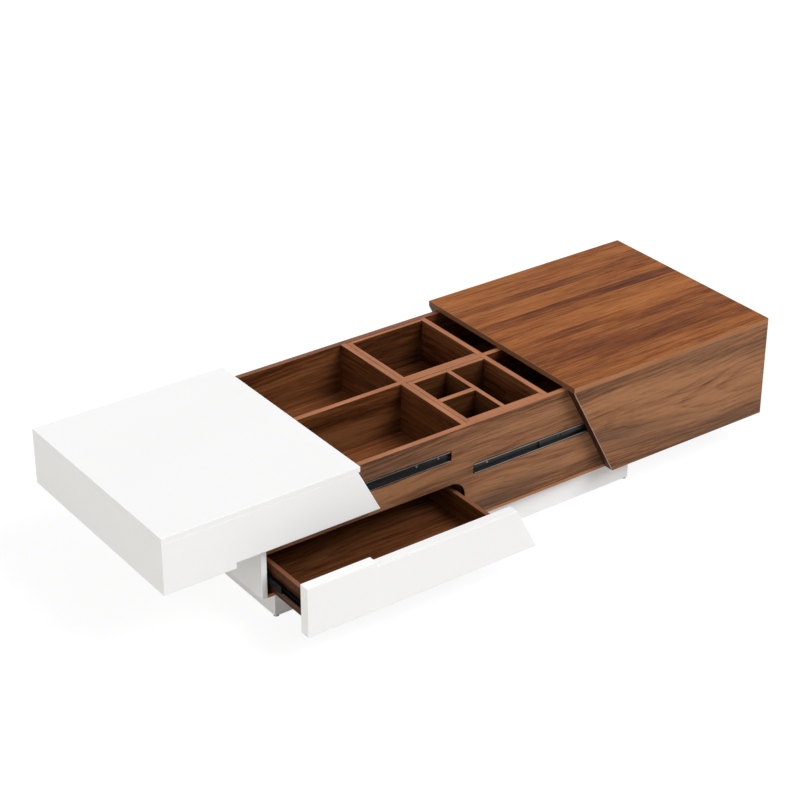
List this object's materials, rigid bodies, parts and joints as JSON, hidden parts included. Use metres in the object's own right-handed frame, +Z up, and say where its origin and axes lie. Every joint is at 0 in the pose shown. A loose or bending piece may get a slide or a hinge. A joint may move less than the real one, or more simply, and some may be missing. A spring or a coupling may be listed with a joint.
{
  "type": "sliding top coffee table",
  "caption": "Low storage coffee table in walnut and white whose two-part top slides apart over open compartments, with a drawer under the white end.",
  "frame": {"origin": "the floor under the middle of the closed table, at the underside of the middle floor glide", "axes": "+X along the table from the white end to the walnut end, -Y out of the side that the drawer opens to, +Z up"},
  "size_m": [1.829, 0.761, 0.365],
  "materials": {
    "white_lacquer": "satin white coating on board",
    "walnut_board": "satin walnut decor on board",
    "black_steel": "black coated sheet steel",
    "zinc_screw": "zinc plated",
    "glide_plastic": "matt"
  },
  "bodies": {
    "table_body": {"front_panel": "walnut_board", "rear_panel": "walnut_board", "left_end_panel": "walnut_board", "right_end_panel": "walnut_board", "storage_floor": "walnut_board", "bottom_board": "walnut_board", "left_partition": "walnut_board", "right_partition": "walnut_board", "centre_divider": "walnut_board", "side_panel": "white_lacquer", "drawer_bay_wall": "walnut_board", "back_tray_bottom": "walnut_board", "back_tray_left": "walnut_board", "back_tray_back": "walnut_board", "back_tray_front": "walnut_board", "front_tray_bottom": "walnut_board", "front_tray_left": "walnut_board", "front_tray_back": "walnut_board", "front_tray_front": "walnut_board", "cell_wall_long": "walnut_board", "cell_wall_short": "walnut_board", "plinth_front": "white_lacquer", "plinth_rear": "white_lacquer", "plinth_left": "white_lacquer", "plinth_right": "white_lacquer", "plinth_stretcher": "white_lacquer", "floor_glides": "glide_plastic", "white_slide_channels": "black_steel", "walnut_slide_channels": "black_steel", "drawer_slide_channels": "black_steel", "channel_screws": "zinc_screw"},
    "white_cover": {"white_top": "white_lacquer", "white_front": "white_lacquer", "white_rear": "white_lacquer", "white_end": "white_lacquer", "white_front_rail": "black_steel", "white_rear_rail": "black_steel", "white_rail_screws": "zinc_screw"},
    "walnut_cover": {"walnut_top": "walnut_board", "walnut_front": "walnut_board", "walnut_rear": "walnut_board", "walnut_end": "walnut_board", "walnut_front_rail": "black_steel", "walnut_rear_rail": "black_steel", "walnut_rail_screws": "zinc_screw"},
    "drawer": {"drawer_front": "white_lacquer", "drawer_left_side": "walnut_board", "drawer_right_side": "walnut_board", "drawer_back": "walnut_board", "drawer_bottom": "walnut_board", "drawer_left_rail": "black_steel", "drawer_right_rail": "black_steel", "drawer_rail_screws": "zinc_screw"},
    "white_front_middle_body": {"white_front_middle": "black_steel"},
    "white_rear_middle_body": {"white_rear_middle": "black_steel"},
    "walnut_front_middle_body": {"walnut_front_middle": "black_steel"},
    "walnut_rear_middle_body": {"walnut_rear_middle": "black_steel"},
    "drawer_left_middle_body": {"drawer_left_middle": "black_steel"},
    "drawer_right_middle_body": {"drawer_right_middle": "black_steel"}
  },
  "joints": [
    {"name": "white_cover_slide", "type": "slide", "parent": "table_body", "child": "white_cover", "axis": [-1, 0, 0], "range_m": [-0.272, 0.088]},
    {"name": "walnut_cover_slide", "type": "slide", "parent": "table_body", "child": "walnut_cover", "axis": [1, 0, 0], "range_m": [-0.367, 0.003]},
    {"name": "drawer_slide", "type": "slide", "parent": "table_body", "child": "drawer", "axis": [0, -1, 0], "range_m": [-0.161, 0.139]},
    {"name": "white_front_middle_slide", "type": "slide", "parent": "table_body", "child": "white_front_middle_body", "axis": [-1, 0, 0], "range_m": [-0.136, 0.044]},
    {"name": "white_rear_middle_slide", "type": "slide", "parent": "table_body", "child": "white_rear_middle_body", "axis": [-1, 0, 0], "range_m": [-0.136, 0.044]},
    {"name": "walnut_front_middle_slide", "type": "slide", "parent": "table_body", "child": "walnut_front_middle_body", "axis": [1, 0, 0], "range_m": [-0.1835, 0.0015]},
    {"name": "walnut_rear_middle_slide", "type": "slide", "parent": "table_body", "child": "walnut_rear_middle_body", "axis": [1, 0, 0], "range_m": [-0.1835, 0.0015]},
    {"name": "drawer_left_middle_slide", "type": "slide", "parent": "table_body", "child": "drawer_left_middle_body", "axis": [0, -1, 0], "range_m": [-0.0805, 0.0695]},
    {"name": "drawer_right_middle_slide", "type": "slide", "parent": "table_body", "child": "drawer_right_middle_body", "axis": [0, -1, 0], "range_m": [-0.0805, 0.0695]}
  ],
  "couplings": [
    {"joint": "white_front_middle_slide", "follows": "white_cover_slide", "ratio": 0.5},
    {"joint": "white_rear_middle_slide", "follows": "white_cover_slide", "ratio": 0.5},
    {"joint": "walnut_front_middle_slide", "follows": "walnut_cover_slide", "ratio": 0.5},
    {"joint": "walnut_rear_middle_slide", "follows": "walnut_cover_slide", "ratio": 0.5},
    {"joint": "drawer_left_middle_slide", "follows": "drawer_slide", "ratio": 0.5},
    {"joint": "drawer_right_middle_slide", "follows": "drawer_slide", "ratio": 0.5}
  ]
}
